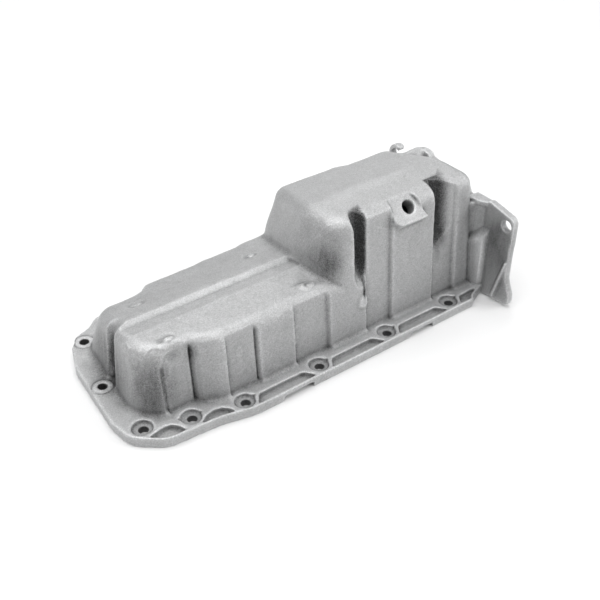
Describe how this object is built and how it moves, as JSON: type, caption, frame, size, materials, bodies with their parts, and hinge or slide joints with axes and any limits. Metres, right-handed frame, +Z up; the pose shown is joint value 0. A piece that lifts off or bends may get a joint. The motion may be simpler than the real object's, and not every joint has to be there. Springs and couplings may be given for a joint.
{
  "type": "engine oil pan",
  "caption": "Cast aluminium engine oil pan with a shallow tray, a deep sump, a ribbed gasket flange, a drain hole and a gearbox-end plate, standing on its gasket face.",
  "frame": {"origin": "middle of the four equally pitched bolt rows, on the gasket face", "axes": "+X towards the gearbox end along the cylinder line, +Z up from the gasket face towards the sump floor, -Y the side with the drain hole"},
  "size_m": [0.4264, 0.2517, 0.14],
  "materials": {
    "cast_aluminium": "shot-blasted casting"
  },
  "bodies": {
    "root": {"pan_casting": "cast_aluminium"}
  },
  "joints": []
}
